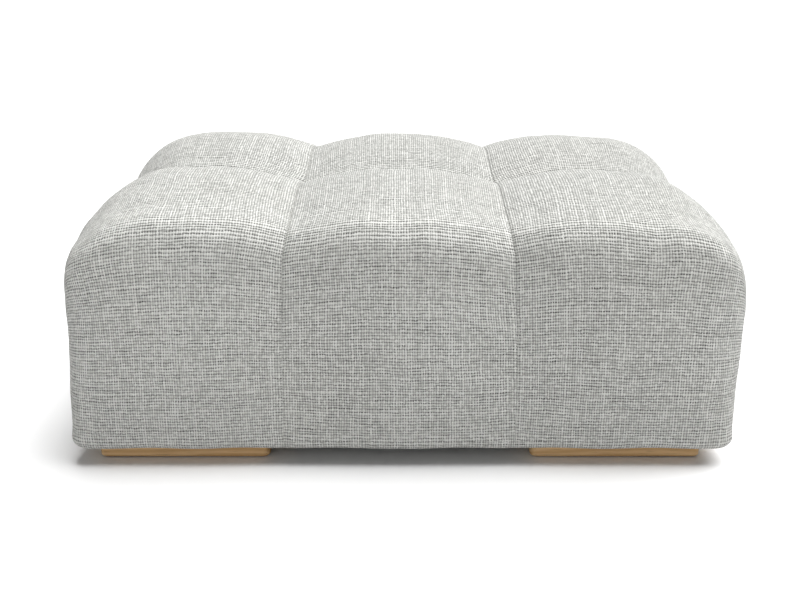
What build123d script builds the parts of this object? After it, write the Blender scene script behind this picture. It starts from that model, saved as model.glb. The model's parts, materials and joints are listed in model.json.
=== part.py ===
"""Padded ottoman of six crowned cells, two rows of three, on four low oak block feet.

Millimetres. X is the width, the front is toward -Y and Z is up. The origin is on the floor,
under the middle of the ottoman.
"""

import os
from functools import cache
from math import cos, hypot, pi, sin

from build123d import *

# Overall sizes, over the fabric and down to the floor
overall_width = 1050.0
overall_depth = 780.0
overall_height = 430.0

# Clearances and overruns
fit_clearance = 0.3
overrun = 12.0

# Sewn cells: where the channels run and how deep they pull in
column_seam_x = 176.0
channel_reach = 150.0
channel_power = 1.7
channel_top_depth = 27.0
channel_front_depth = 26.0
channel_hem_depth = 3.0
row_channel_depth = 50.0
row_channel_dip = 8.0
row_side_depth = 36.0

# Sewn cells: how their outer edges round off
hem_radius = 17.0
front_bulge = 5.0
front_edge_height = 44.0
front_edge_run = 44.0
crown_rise = 30.0
ridge_setback = 160.0
side_crown_run = 150.0
side_crown_fall = 140.0
side_channel_run = 240.0
corner_run = 62.0
corner_fall = 60.0
quarter_arc_share = 0.2071
crown_arc_share = 0.0225
shoulder_arc_share = 0.05
channel_bow_share = 0.25
station_shares = (0.2, 0.55, 1.0)
side_round_shares = (0.0, 0.25, 0.5, 0.75, 1.0)

# Cover cloth and seams
cover_thickness = 8.0
hem_thickness = 1.5
seam_allowance = 3.0
hem_width = 25.0

# Feet and felt pads
foot_height = 30.0
foot_length = 272.0
foot_side_setback = 44.0
foot_depth = 90.0
foot_setback = 42.0
foot_corner_radius = 11.0
foot_edge = 2.0
foot_bottom = 2.0
glide_length = 50.0
glide_width = 50.0
glide_inset = 20.0

# Frame timber
side_padding = 40.0
liner_thickness = 3.0
frame_height = 290.0
base_board_width = 100.0
base_board_thickness = 18.0
rail_thickness = 22.0
rail_height = 60.0
post_size = 45.0
stud_width = 45.0
tenon_length = 12.0
tenon_shoulder = 6.0
stretcher_height = 56.0
housing_depth = 8.0
post_drop = 4.0
loose_tenon_thickness = 8.0
loose_tenon_length = 34.0
loose_tenon_edge = 12.0

# Suspension
strap_width = 60.0
strap_thickness = 1.6
strap_room_shares = (0.25, 0.75)
tie_room_share = 0.5
deck_thickness = 1.6
deck_setback = 10.0

# Seat foam, channel rods and ties
seat_foam_thickness = 48.0
seat_foam_setback = 15.0
seat_foam_side_setback = 30.0
seat_foam_edge = 14.0
rod_diameter = 5.0
rod_setback = 30.0
rod_gap = 8.0
tie_width = 12.0
tie_thickness = 1.6
tie_slot_clearance = 1.5

# Worked out once and used by several pieces
half_width = overall_width / 2
half_depth = overall_depth / 2
liner_x = half_width - side_padding
liner_y = half_depth - side_padding
frame_x = liner_x - liner_thickness
frame_y = liner_y - liner_thickness
rail_inner_x = frame_x - rail_thickness
rail_inner_y = frame_y - rail_thickness
frame_bottom = foot_height + hem_thickness
board_top = frame_bottom + base_board_thickness
rail_bottom = frame_height - rail_height
stretcher_top = rail_bottom + stretcher_height
hem_inner_x = liner_x - hem_width
hem_inner_y = liner_y - hem_width
foot_front_y = half_depth - foot_setback
foot_middle_x = half_width - foot_side_setback - foot_length / 2
foot_middle_y = foot_front_y - foot_depth / 2
front_top_z = overall_height - crown_rise - front_edge_height
front_bow_share = front_bulge / (front_top_z - foot_height - hem_radius)
strap_top = frame_height + strap_thickness
deck_bottom = strap_top + fit_clearance + strap_thickness
deck_top = deck_bottom + deck_thickness
seat_top = deck_top + seat_foam_thickness
seat_x = liner_x - seat_foam_side_setback
seat_y = liner_y - seat_foam_setback
rod_z = seat_top + fit_clearance + rod_diameter / 2
end_room = rail_inner_x - column_seam_x
column_tie_y = tie_room_share * rail_inner_y
row_tie_x = column_seam_x + tie_room_share * end_room
column_ties = [(x, y) for x in (-column_seam_x, column_seam_x) for y in (-column_tie_y, 0, column_tie_y)]
row_ties = [(x, 0) for x in (-row_tie_x, 0, row_tie_x)]

FRONT, REAR = -1, 1
LEFT, CENTRE, RIGHT = -1, 0, 1
ROW_NAMES = {FRONT: "front", REAR: "rear"}
COLUMN_NAMES = {LEFT: "left", CENTRE: "centre", RIGHT: "right"}
SIDE_NAMES = {LEFT: "left", RIGHT: "right"}


def save(piece, label):
    """Label a finished piece and write its STEP file."""
    piece.part.label = label
    export_step(piece.part, f"parts/{label}.step")


def block(x_span, y_span, z_span, mode=Mode.ADD):
    """A squared timber or a square cut, given by its spans along the three axes."""
    with BuildSketch(Plane.XY.offset(z_span[0])) as outline:
        with Locations(((x_span[0] + x_span[1]) / 2, (y_span[0] + y_span[1]) / 2)):
            Rectangle(abs(x_span[1] - x_span[0]), abs(y_span[1] - y_span[0]))
    extrude(outline.sketch, amount=z_span[1] - z_span[0], dir=(0, 0, 1), mode=mode)


def edge(start, end, bow_share, flat):
    """Side of an outline: an arc bowed out by a share of its chord, or the chord if flat."""
    if flat:
        Line(start, end)
    else:
        SagittaArc(start, end, bow_share * hypot(end[0] - start[0], end[1] - start[1]))


def cell_section(x, column, inset, rear_y, flat):
    """Front row cell cut square to X: its hem, front, crown and shoulder as lines and arcs.

    inset draws the whole outline in from the fabric's face, rear_y is where the cell ends at
    the channel between the rows, and flat gives the plain filling under the cover.
    """
    seam_distance = x - column_seam_x if column else column_seam_x - abs(x)
    pull = max(1 - seam_distance / channel_reach, 0) ** (1 if flat else channel_power)
    top = overall_height - inset - channel_top_depth * pull
    front = half_depth - front_bulge - inset
    front_top = front - channel_front_depth * pull
    front_low = front - (channel_front_depth if flat else channel_hem_depth) * pull
    hem = foot_height + (hem_thickness if inset else 0)
    rear_drop = row_channel_depth + (0 if flat else row_channel_dip - channel_top_depth) * pull

    hem_inner = (-front_low + hem_radius, hem)
    hem_outer = (-front_low, hem + hem_radius)
    front_edge = (-front_top, top - crown_rise - front_edge_height)
    crown_front = (-front_top + front_edge_run, top - crown_rise)
    ridge = (-ridge_setback, top)
    rear_edge = (rear_y, top - rear_drop)
    with BuildSketch(Plane.YZ.offset(x)) as section:
        with BuildLine():
            Line((rear_y, hem), hem_inner)
            edge(hem_inner, hem_outer, quarter_arc_share, flat)
            edge(hem_outer, front_edge, front_bow_share, flat)
            edge(front_edge, crown_front, quarter_arc_share, flat)
            edge(crown_front, ridge, crown_arc_share, flat)
            edge(ridge, rear_edge, shoulder_arc_share, flat)
            Line(rear_edge, (rear_y, hem))
        make_face()
    return section.sketch


def cell_stations(column, start, flat):
    """X places of a cell's sections: out from its channel, or from channel to channel."""
    shares = (1.0,) if flat else station_shares
    places = [start] + [column_seam_x + channel_reach * share for share in shares]
    if column:
        return places + [half_width + overrun]
    half = [2 * column_seam_x - place for place in places]
    return [-x for x in half] + half[::-1]


def round_side(inset, flat):
    """Round the top of an end cell over to its side along a quarter of an ellipse."""
    side = half_width - inset
    crown = overall_height - inset
    start, rise, shoulder, dip, stop = [
        (side - side_crown_run * (1 - sin(turn)), crown - side_crown_fall * (1 - cos(turn)))
        for turn in (pi / 2 * share for share in side_round_shares)
    ]
    with BuildSketch(Plane.XZ) as waste:
        with BuildLine():
            if flat:
                Polyline(start, shoulder, stop)
            else:
                ThreePointArc(start, rise, shoulder)
                ThreePointArc(shoulder, dip, stop)
            far = side + overrun
            high = crown + overrun
            Polyline(stop, (far, stop[1]), (far, high), (start[0], high), start)
        make_face()
    extrude(waste.sketch, amount=overall_depth, both=True, mode=Mode.SUBTRACT)


def round_corner(inset, flat):
    """Round an end cell's front over to its side, seen from above."""
    side = half_width - inset
    front = -half_depth + inset
    start = (side - corner_run, front)
    stop = (side, front + corner_fall)
    far = side + overrun
    with BuildSketch() as waste:
        with BuildLine():
            edge(start, stop, -quarter_arc_share, flat)
            Polyline(stop, (far, stop[1]), (far, front - overrun), (start[0], front - overrun), start)
        make_face()
    extrude(waste.sketch, amount=overall_height, mode=Mode.SUBTRACT)


def round_side_hem(inset, flat):
    """Round the lower edge of an end cell's side, as the front's hem is rounded."""
    side = half_width - inset
    start = (side, foot_height + hem_radius)
    stop = (side - hem_radius, foot_height)
    far = side + overrun
    low = foot_height - overrun
    with BuildSketch(Plane.XZ) as waste:
        with BuildLine():
            edge(start, stop, -quarter_arc_share, flat)
            Polyline(stop, (stop[0], low), (far, low), (far, start[1]), start)
        make_face()
    extrude(waste.sketch, amount=overall_depth, both=True, mode=Mode.SUBTRACT)


def pull_side_channel(inset, flat):
    """Draw an end cell's side in toward the channel between the rows, most at the crown."""
    side = half_width - inset
    far = side + overrun
    sections = []
    for z, depth in ((0, channel_hem_depth), (overall_height, row_side_depth)):
        start = (side, -side_channel_run)
        stop = (side - depth, 0)
        with BuildSketch(Plane.XY.offset(z)) as waste:
            with BuildLine():
                edge(start, stop, channel_bow_share * depth / side_channel_run, flat)
                Polyline(stop, (stop[0], overrun), (far, overrun), (far, start[1]), start)
            make_face()
        sections.append(waste.sketch)
    loft(sections, ruled=True, mode=Mode.SUBTRACT)


@cache
def cell_form(column, inset, seam_inset, flat):
    """The front row's end or centre cell as one solid, cut true at its channel planes."""
    with BuildPart() as cell:
        stations = cell_stations(column, column_seam_x - overrun, flat)
        loft([cell_section(x, column, inset, overrun, flat) for x in stations], ruled=True)
        if column:
            split(bisect_by=Plane.YZ.offset(half_width - inset), keep=Keep.BOTTOM)
            round_side(inset, flat)
            round_corner(inset, flat)
            round_side_hem(inset, flat)
            pull_side_channel(inset, flat)
        split(bisect_by=Plane.XZ.offset(seam_inset), keep=Keep.TOP)
        near_seam = column_seam_x + (seam_inset if column else -seam_inset)
        split(bisect_by=Plane.YZ.offset(near_seam), keep=Keep.TOP if column else Keep.BOTTOM)
        if not column:
            split(bisect_by=Plane.YZ.offset(-near_seam), keep=Keep.TOP)
    return cell.part


def place_cell(column, row):
    """Turn a front right or front centre cell into the one asked for by mirroring it."""
    if row == REAR:
        mirror(about=Plane.XZ, mode=Mode.REPLACE)
    if column == LEFT:
        mirror(about=Plane.YZ, mode=Mode.REPLACE)


def cut_core(gap):
    """Cut away the room that frame, webbing, seat foam and channel rods take up in a cell."""
    frame_span = (-liner_x - gap, liner_x + gap)
    depth_span = (-liner_y - gap, liner_y + gap)
    seat_span = (-seat_x - gap, seat_x + gap)
    seat_depth_span = (-seat_y - gap, seat_y + gap)
    hem_span = (-hem_inner_x, hem_inner_x)
    hem_depth_span = (-hem_inner_y, hem_inner_y)
    rod_top = rod_z + rod_diameter / 2 + gap
    block(hem_span, hem_depth_span, (0, frame_bottom), Mode.SUBTRACT)
    block(frame_span, depth_span, (frame_bottom, deck_top + gap), Mode.SUBTRACT)
    block(seat_span, seat_depth_span, (deck_top, seat_top + gap), Mode.SUBTRACT)
    block(seat_span, (-rod_gap, rod_gap), (seat_top, rod_top), Mode.SUBTRACT)
    for side in SIDE_NAMES:
        x = side * column_seam_x
        block((x - rod_gap, x + rod_gap), seat_depth_span, (seat_top, rod_top), Mode.SUBTRACT)


def cell_cover(column, row):
    """Woven cover of one cell with its wadding, and its seam allowances turned in."""
    with BuildPart() as cover:
        add(cell_form(abs(column), 0, 0, False))
        add(cell_form(abs(column), cover_thickness, seam_allowance, True), mode=Mode.SUBTRACT)
        cut_core(fit_clearance)
        place_cell(column, row)
    return cover


def cell_foam(column, row):
    """Foam and fibre filling of one cell, from the frame out to the cover."""
    gap = fit_clearance
    with BuildPart() as filling:
        add(cell_form(abs(column), cover_thickness + gap, seam_allowance + gap, True))
        cut_core(2 * gap)
        place_cell(column, row)
    return filling


def oak_foot(side, row):
    """Solid oak block foot with rounded corners and an eased lower edge."""
    with BuildPart() as foot:
        with BuildSketch(Plane.XY.offset(foot_bottom)) as outline:
            with Locations((side * foot_middle_x, row * foot_middle_y)):
                RectangleRounded(foot_length, foot_depth, foot_corner_radius)
        extrude(outline.sketch, amount=foot_height - foot_bottom)
        chamfer(foot.faces().sort_by(Axis.Z)[0].edges(), foot_edge)
    return foot


def foot_glides(side, row):
    """Two felt pads stuck under a foot, near its ends."""
    reach = (foot_length - glide_length) / 2 - glide_inset
    with BuildPart() as glides:
        with BuildSketch() as outline:
            with Locations(*[(side * foot_middle_x + x, row * foot_middle_y) for x in (-reach, reach)]):
                Rectangle(glide_length, glide_width)
        extrude(outline.sketch, amount=foot_bottom)
    return glides


def dust_cover():
    """Black non-woven cloth that closes the underside inside the cover's hem."""
    inner_x = hem_inner_x - fit_clearance
    inner_y = hem_inner_y - fit_clearance
    with BuildPart() as cloth:
        block((-inner_x, inner_x), (-inner_y, inner_y), (foot_height, frame_bottom))
    return cloth


def long_base_board(row):
    """Front or rear plywood board of the base, mortised for the posts and studs."""
    near, far = sorted((row * frame_y, row * (frame_y - base_board_width)))
    with BuildPart() as board:
        block((-frame_x, frame_x), (near, far), (frame_bottom, board_top))
        for place in upright_places(row):
            mortise(*place)
    return board


def upright_places(row):
    """Middle and section of each post and stud that stands on one row's base board."""
    post_x = rail_inner_x - post_size / 2
    post_y = rail_inner_y - post_size / 2
    stud_y = frame_y - rail_thickness / 2
    posts = [(side * post_x, row * post_y, post_size, post_size) for side in SIDE_NAMES]
    studs = [(side * column_seam_x, row * stud_y, stud_width, rail_thickness) for side in SIDE_NAMES]
    return posts + studs


def mortise(x, y, size_x, size_y):
    """Blind mortise in a base board's top, a little deeper and wider than the tenon."""
    half_x = size_x / 2 - tenon_shoulder + fit_clearance
    half_y = size_y / 2 - tenon_shoulder + fit_clearance
    floor_z = board_top - tenon_length - fit_clearance
    block((x - half_x, x + half_x), (y - half_y, y + half_y), (floor_z, board_top), mode=Mode.SUBTRACT)


def upright(place, top):
    """Post or stud with a stub tenon at its foot."""
    x, y, size_x, size_y = place
    half_x = size_x / 2
    half_y = size_y / 2
    with BuildPart() as timber:
        block((x - half_x, x + half_x), (y - half_y, y + half_y), (board_top, top))
        half_x -= tenon_shoulder
        half_y -= tenon_shoulder
        block((x - half_x, x + half_x), (y - half_y, y + half_y), (board_top - tenon_length, board_top))
    return timber


def side_base_board(side):
    """Left or right plywood board of the base, butted between the long ones."""
    near, far = sorted((side * frame_x, side * (frame_x - base_board_width)))
    reach = frame_y - base_board_width
    with BuildPart() as board:
        block((near, far), (-reach, reach), (frame_bottom, board_top))
    return board


def long_top_rail(row):
    """Front or rear top rail, mortised at the corners and housed for the stretchers."""
    near, far = sorted((row * frame_y, row * rail_inner_y))
    with BuildPart() as rail:
        block((-frame_x, frame_x), (near, far), (rail_bottom, frame_height))
        for side in SIDE_NAMES:
            housing(side * column_seam_x, row * rail_inner_y, False)
            corner_joint(side, row, fit_clearance, Mode.SUBTRACT)
    return rail


def side_top_rail(side):
    """Left or right top rail, joined to the long rails by loose tenons."""
    near, far = sorted((side * frame_x, side * rail_inner_x))
    with BuildPart() as rail:
        block((near, far), (-rail_inner_y, rail_inner_y), (rail_bottom, frame_height))
        housing(side * rail_inner_x, 0, True)
        for row in ROW_NAMES:
            corner_joint(side, row, fit_clearance, Mode.SUBTRACT)
    return rail


def corner_joint(side, row, gap, mode=Mode.ADD):
    """Loose tenon across a rail corner, or with a gap round it, its mortise."""
    x = side * (frame_x - rail_thickness / 2)
    y = row * rail_inner_y
    half_thickness = loose_tenon_thickness / 2 + gap
    deep = loose_tenon_length / 2 + gap
    low = rail_bottom + loose_tenon_edge - gap
    high = frame_height - loose_tenon_edge + gap
    block((x - half_thickness, x + half_thickness), (y - deep, y + deep), (low, high), mode)


def loose_tenons():
    """Beech tenons let into both rails at each of the four corners."""
    with BuildPart() as tenons:
        for row in ROW_NAMES:
            for side in SIDE_NAMES:
                corner_joint(side, row, 0)
    return tenons


def housing(x, y, along_x):
    """Housing cut into a rail's inner face from below, for the end of a stretcher."""
    width = rail_thickness / 2 + fit_clearance
    depth = housing_depth + fit_clearance
    span_x = (x - depth, x + depth) if along_x else (x - width, x + width)
    span_y = (y - width, y + width) if along_x else (y - depth, y + depth)
    block(span_x, span_y, (rail_bottom, stretcher_top), mode=Mode.SUBTRACT)


def cross_stretcher(side):
    """Stretcher under a column channel, notched from above where the long one crosses it."""
    x = side * column_seam_x
    half_thickness = rail_thickness / 2
    reach = rail_inner_y + housing_depth
    notch = half_thickness + fit_clearance
    lap_z = (rail_bottom + stretcher_top) / 2
    with BuildPart() as stretcher:
        block((x - half_thickness, x + half_thickness), (-reach, reach), (rail_bottom, stretcher_top))
        block((x - notch, x + notch), (-notch, notch), (lap_z, stretcher_top), mode=Mode.SUBTRACT)
    return stretcher


def long_stretcher():
    """Stretcher under the row channel, notched from below over the two cross stretchers."""
    half_thickness = rail_thickness / 2
    reach = rail_inner_x + housing_depth
    notch = half_thickness + fit_clearance
    lap_z = (rail_bottom + stretcher_top) / 2
    with BuildPart() as stretcher:
        block((-reach, reach), (-half_thickness, half_thickness), (rail_bottom, stretcher_top))
        for side in SIDE_NAMES:
            x = side * column_seam_x
            block((x - notch, x + notch), (-notch, notch), (rail_bottom, lap_z), mode=Mode.SUBTRACT)
    return stretcher


def long_liner(row):
    """Hardboard that closes the frame at the front or rear."""
    near, far = sorted((row * frame_y, row * liner_y))
    with BuildPart() as liner:
        block((-liner_x, liner_x), (near, far), (frame_bottom, frame_height))
    return liner


def side_liner(side):
    """Hardboard that closes the frame at the left or right."""
    near, far = sorted((side * frame_x, side * liner_x))
    with BuildPart() as liner:
        block((near, far), (-frame_y, frame_y), (frame_bottom, frame_height))
    return liner


def cross_strap_places():
    """X of the cross straps: one centre strap each side of the middle, two in each end cell."""
    places = [column_seam_x / 2] + [column_seam_x + share * end_room for share in strap_room_shares]
    return [-x for x in reversed(places)] + places


def long_strap_places():
    """Y of the long straps: two between the row channel and each long rail."""
    places = [share * rail_inner_y for share in strap_room_shares]
    return [-y for y in reversed(places)] + places


def cross_straps():
    """Elastic webbing stretched flat from the front rail to the rear rail."""
    half_strap = strap_width / 2
    with BuildPart() as straps:
        for x in cross_strap_places():
            block((x - half_strap, x + half_strap), (-frame_y, frame_y), (frame_height, strap_top))
    return straps


def long_straps():
    """Elastic webbing from side to side, woven over and under the cross straps."""
    with BuildPart() as straps:
        for count, y in enumerate(long_strap_places()):
            with BuildSketch(Plane.XZ.offset(-y)) as profile:
                with BuildLine():
                    line = strap_line(count)
                    upper = [(x, z + strap_thickness) for x, z in reversed(line)]
                    Polyline(*line, *upper, close=True)
                make_face()
            extrude(profile.sketch, amount=strap_width / 2, both=True)
    return straps


def strap_line(count):
    """Underside of a long strap: on the rails at its ends, over or under each cross strap."""
    lift = strap_thickness + fit_clearance
    line = [(-frame_x, frame_height), (-rail_inner_x, frame_height)]
    for place, x in enumerate(cross_strap_places()):
        z = frame_height + (lift if (place + count) % 2 else -lift)
        flat = strap_width / 2 + fit_clearance
        line += [(x - flat, z), (x + flat, z)]
    return line + [(rail_inner_x, frame_height), (frame_x, frame_height)]


def deck_cloth():
    """Felt laid on the webbing, slit for the channel ties."""
    with BuildPart() as cloth:
        reach_x = frame_x - deck_setback
        reach_y = frame_y - deck_setback
        block((-reach_x, reach_x), (-reach_y, reach_y), (deck_bottom, deck_top))
        cut_tie_slots()
    return cloth


def seat_foam():
    """Firm foam slab over the whole frame, with eased upper edges and slits for the ties."""
    with BuildPart() as foam:
        block((-seat_x, seat_x), (-seat_y, seat_y), (deck_top, seat_top))
        chamfer(foam.faces().sort_by(Axis.Z)[-1].edges(), seat_foam_edge)
        cut_tie_slots()
    return foam


def cut_tie_slots():
    """Slits through the seat for every channel tie."""
    half_slot = tie_width / 2 + tie_slot_clearance
    half_gap = tie_thickness / 2 + tie_slot_clearance
    for x, y in column_ties:
        block((x - half_gap, x + half_gap), (y - half_slot, y + half_slot), (0, overall_height), Mode.SUBTRACT)
    for x, y in row_ties:
        block((x - half_slot, x + half_slot), (y - half_gap, y + half_gap), (0, overall_height), Mode.SUBTRACT)


def channel_ties():
    """Tape ties from the stretchers up to the rods that hold the channels down."""
    half_width_of_tie = tie_width / 2
    half_thickness = tie_thickness / 2
    tie_span = (stretcher_top, rod_z - rod_diameter / 2)
    with BuildPart() as ties:
        for x, y in column_ties:
            across = (x - half_thickness, x + half_thickness)
            block(across, (y - half_width_of_tie, y + half_width_of_tie), tie_span)
        for x, y in row_ties:
            across = (y - half_thickness, y + half_thickness)
            block((x - half_width_of_tie, x + half_width_of_tie), across, tie_span)
    return ties


def column_rods():
    """Fibreglass rods sewn along the two channels that run front to rear."""
    reach = seat_y - rod_setback
    with BuildPart() as rods:
        for side in SIDE_NAMES:
            with BuildSketch(Plane.XZ.offset(-reach)) as end:
                with Locations((side * column_seam_x, rod_z)):
                    Circle(rod_diameter / 2)
            extrude(end.sketch, amount=2 * reach)
    return rods


def row_rods():
    """Fibreglass rods sewn along the channel between the rows, one for each column."""
    inner = column_seam_x - rod_gap
    outer = column_seam_x + rod_gap
    spans = [(-inner, inner), (outer, seat_x - rod_setback), (rod_setback - seat_x, -outer)]
    with BuildPart() as rods:
        for start, stop in spans:
            with BuildSketch(Plane.YZ.offset(start)) as end:
                with Locations((0, rod_z)):
                    Circle(rod_diameter / 2)
            extrude(end.sketch, amount=stop - start)
    return rods


os.makedirs("parts", exist_ok=True)
for row, row_name in ROW_NAMES.items():
    for column, column_name in COLUMN_NAMES.items():
        save(cell_cover(column, row), f"cover_{row_name}_{column_name}")
        save(cell_foam(column, row), f"cell_foam_{row_name}_{column_name}")
    for side, side_name in SIDE_NAMES.items():
        save(oak_foot(side, row), f"foot_{row_name}_{side_name}")
        save(foot_glides(side, row), f"glides_{row_name}_{side_name}")
    for place, name in zip(upright_places(row), ("post_left", "post_right", "stud_left", "stud_right")):
        kind, side_name = name.split("_")
        top = frame_height - post_drop if kind == "post" else rail_bottom
        save(upright(place, top), f"{kind}_{row_name}_{side_name}")
    save(long_base_board(row), f"base_board_{row_name}")
    save(long_top_rail(row), f"top_rail_{row_name}")
    save(long_liner(row), f"liner_{row_name}")
for side, side_name in SIDE_NAMES.items():
    save(side_base_board(side), f"base_board_{side_name}")
    save(side_top_rail(side), f"top_rail_{side_name}")
    save(side_liner(side), f"liner_{side_name}")
    save(cross_stretcher(side), f"cross_stretcher_{side_name}")
save(long_stretcher(), "long_stretcher")
save(loose_tenons(), "loose_tenons")
save(cross_straps(), "cross_webbing")
save(long_straps(), "long_webbing")
save(deck_cloth(), "deck_cloth")
save(seat_foam(), "seat_foam")
save(column_rods(), "column_channel_rods")
save(row_rods(), "row_channel_rods")
save(channel_ties(), "channel_ties")
save(dust_cover(), "dust_cover")
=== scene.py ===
import json
import math

import bmesh
import bpy
import numpy as np
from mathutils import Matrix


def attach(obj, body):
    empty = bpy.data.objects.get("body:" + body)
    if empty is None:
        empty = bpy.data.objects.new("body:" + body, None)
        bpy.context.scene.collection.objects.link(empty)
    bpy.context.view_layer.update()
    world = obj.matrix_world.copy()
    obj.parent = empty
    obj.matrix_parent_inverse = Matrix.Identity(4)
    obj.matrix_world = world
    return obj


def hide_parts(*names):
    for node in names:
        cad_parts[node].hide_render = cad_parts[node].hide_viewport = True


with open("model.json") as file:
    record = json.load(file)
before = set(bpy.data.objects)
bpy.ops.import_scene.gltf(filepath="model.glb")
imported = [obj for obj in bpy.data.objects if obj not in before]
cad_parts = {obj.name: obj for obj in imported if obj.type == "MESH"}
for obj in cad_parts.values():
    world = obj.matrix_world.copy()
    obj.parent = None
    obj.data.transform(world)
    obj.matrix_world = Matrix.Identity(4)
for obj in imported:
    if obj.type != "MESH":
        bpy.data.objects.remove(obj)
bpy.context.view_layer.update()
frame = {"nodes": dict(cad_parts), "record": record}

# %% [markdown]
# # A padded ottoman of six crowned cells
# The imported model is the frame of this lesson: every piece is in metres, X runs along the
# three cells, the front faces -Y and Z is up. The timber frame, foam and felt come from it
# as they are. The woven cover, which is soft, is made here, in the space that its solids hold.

scene = bpy.context.scene


def make_piece(name, points, faces, uv=None, smooth=True):
    """Mesh object from arrays: points is n by 3, faces a list of index arrays of equal width,
    and uv gives each point its place on the flat cloth, in metres."""
    mesh = bpy.data.meshes.new(name)
    mesh.from_pydata(points.tolist(), [], [face for block in faces for face in block.tolist()])
    mesh.polygons.foreach_set("use_smooth", np.full(len(mesh.polygons), smooth))
    if uv is not None:
        loops = np.concatenate([block.ravel() for block in faces])
        mesh.uv_layers.new(name="cloth").data.foreach_set("uv", uv[loops].ravel())
    mesh.validate()
    piece = bpy.data.objects.new(name, mesh)
    scene.collection.objects.link(piece)
    return piece


def stack(*parts):
    """Numbers of equal shape side by side as the last axis."""
    return np.stack(parts, axis=-1)


def grid_faces(rows, columns, start=0):
    """Quads of a grid whose points are numbered row by row from start."""
    corner = start + np.arange(rows - 1)[:, None] * columns + np.arange(columns - 1)[None, :]
    quads = stack(corner, corner + 1, corner + columns + 1, corner + columns)
    return quads.reshape(-1, 4)


def show(label, points):
    """Print an array's shape and the least and greatest value along each axis."""
    line = points.reshape(-1, points.shape[-1])
    print(label, points.shape, line.min(0).round(4), line.max(0).round(4))


# %% [markdown]
# ## Camera
# The photograph was taken from in front, about 0.8 m up and 2 m back, with a short telephoto
# lens. These numbers come from fitting the cell lines, the feet and the crests to a pinhole
# camera, so the render can be laid over the photograph.

# %% Camera
camera_place = (0.0, -1.992, 0.820)
camera_pitch = math.radians(18.58)
camera_lens = 51.0

camera_data = bpy.data.cameras.new("camera")
camera_data.lens = camera_lens
camera_data.sensor_width = 36.0
camera = bpy.data.objects.new("camera", camera_data)
camera.location = camera_place
camera.rotation_euler = (math.pi / 2 - camera_pitch, 0.0, 0.0)
scene.collection.objects.link(camera)
scene.camera = camera
print("camera", camera_place, "lens", camera_lens)

# %% [markdown]
# ## Node trees
# Every look below is a tree of shader nodes. This short hand adds a node, feeds its sockets and
# gives back its output, so that a tree can be written down like a formula.

# %% Node helpers
class Tree:
    """Short hand for a node tree: most methods add one node and give its output."""

    def __init__(self, tree):
        self.tree = tree

    def feed(self, socket, value):
        """Link an output to a socket, or set a number or a colour on it."""
        if isinstance(value, bpy.types.NodeSocket):
            self.tree.links.new(value, socket)
        else:
            socket.default_value = (*value, 1.0) if socket.type == "RGBA" else value

    def fill(self, node, inputs):
        """Feed sockets of a node, found by name or by number, and give the node."""
        for socket, value in dict(inputs).items():
            self.feed(node.inputs[socket], value)
        return node

    def node(self, kind, inputs=(), **settings):
        """New node with its settings made and then its sockets fed."""
        made = self.tree.nodes.new(kind)
        for name, value in settings.items():
            setattr(made, name, value)
        return self.fill(made, inputs)

    def math(self, operation, *values):
        return self.node("ShaderNodeMath", enumerate(values), operation=operation).outputs[0]

    def times(self, value, factor, *added):
        """Product of two values, plus a third where one is given."""
        return self.math("MULTIPLY_ADD" if added else "MULTIPLY", value, factor, *added)

    def noise(self, vector, scale, detail=2.0, roughness=0.5):
        inputs = {"Vector": vector, "Scale": scale, "Detail": detail, "Roughness": roughness}
        return self.node("ShaderNodeTexNoise", inputs).outputs["Fac"]

    def random(self, vector):
        return self.node("ShaderNodeTexWhiteNoise", {"Vector": vector}).outputs["Value"]

    def place(self):
        """Object coordinates, which for all these pieces are metres in the model's frame."""
        return self.node("ShaderNodeTexCoord").outputs["Object"]

    def split(self, vector):
        return self.node("ShaderNodeSeparateXYZ", {0: vector}).outputs

    def join(self, x, y, z=0.0):
        return self.node("ShaderNodeCombineXYZ", enumerate((x, y, z))).outputs[0]

    def span(self, value, low, high, out_low=0.0, out_high=1.0):
        """Value from low to high turned into out_low to out_high along a smooth S."""
        inputs = enumerate((value, low, high, out_low, out_high))
        made = self.node("ShaderNodeMapRange", inputs, interpolation_type="SMOOTHSTEP")
        return made.outputs["Result"]

    def group(self, tree, inputs):
        return self.node("ShaderNodeGroup", inputs, node_tree=tree).outputs

    def mix(self, share, low, high):
        """Colour low where share is 0, high where it is 1."""
        made = self.node("ShaderNodeMix", {"Factor": share}, data_type="RGBA")
        for socket, color in zip([s for s in made.inputs if s.type == "RGBA"], (low, high)):
            self.feed(socket, color)
        return [s for s in made.outputs if s.type == "RGBA"][0]

    def bump(self, height, distance, strength):
        inputs = {"Height": height, "Distance": distance, "Strength": strength}
        return self.node("ShaderNodeBump", inputs).outputs[0]


def new_group(name, places, values, results):
    """Empty node group: its sockets for places and for values, and those of its results."""
    tree = bpy.data.node_groups.new(name, "ShaderNodeTree")
    for names, way, kind in ((places, "INPUT", "Vector"), (values, "INPUT", "Float"),
                             (results, "OUTPUT", "Float")):
        for socket in names:
            tree.interface.new_socket(name=socket, in_out=way, socket_type="NodeSocket" + kind)
    work = Tree(tree)
    return work, work.node("NodeGroupInput").outputs, work.node("NodeGroupOutput")


def plain_material(name, color, roughness):
    """Principled material, its tree and its shader."""
    material = bpy.data.materials.new(name)
    material.use_nodes = True
    t = Tree(material.node_tree)
    shader = t.tree.nodes["Principled BSDF"]
    return material, t, t.fill(shader, {"Base Color": color, "Roughness": roughness})


# %% [markdown]
# ## Light and floor
# A white studio: a broad soft light high above, a little to the right and behind, a weak one
# almost level from the front left, and an even white sky. A sun with a wide disc gives the
# same light everywhere on the floor, which a lamp near the object would not, so the floor
# stays evenly pale to the edge of the frame.

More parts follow.
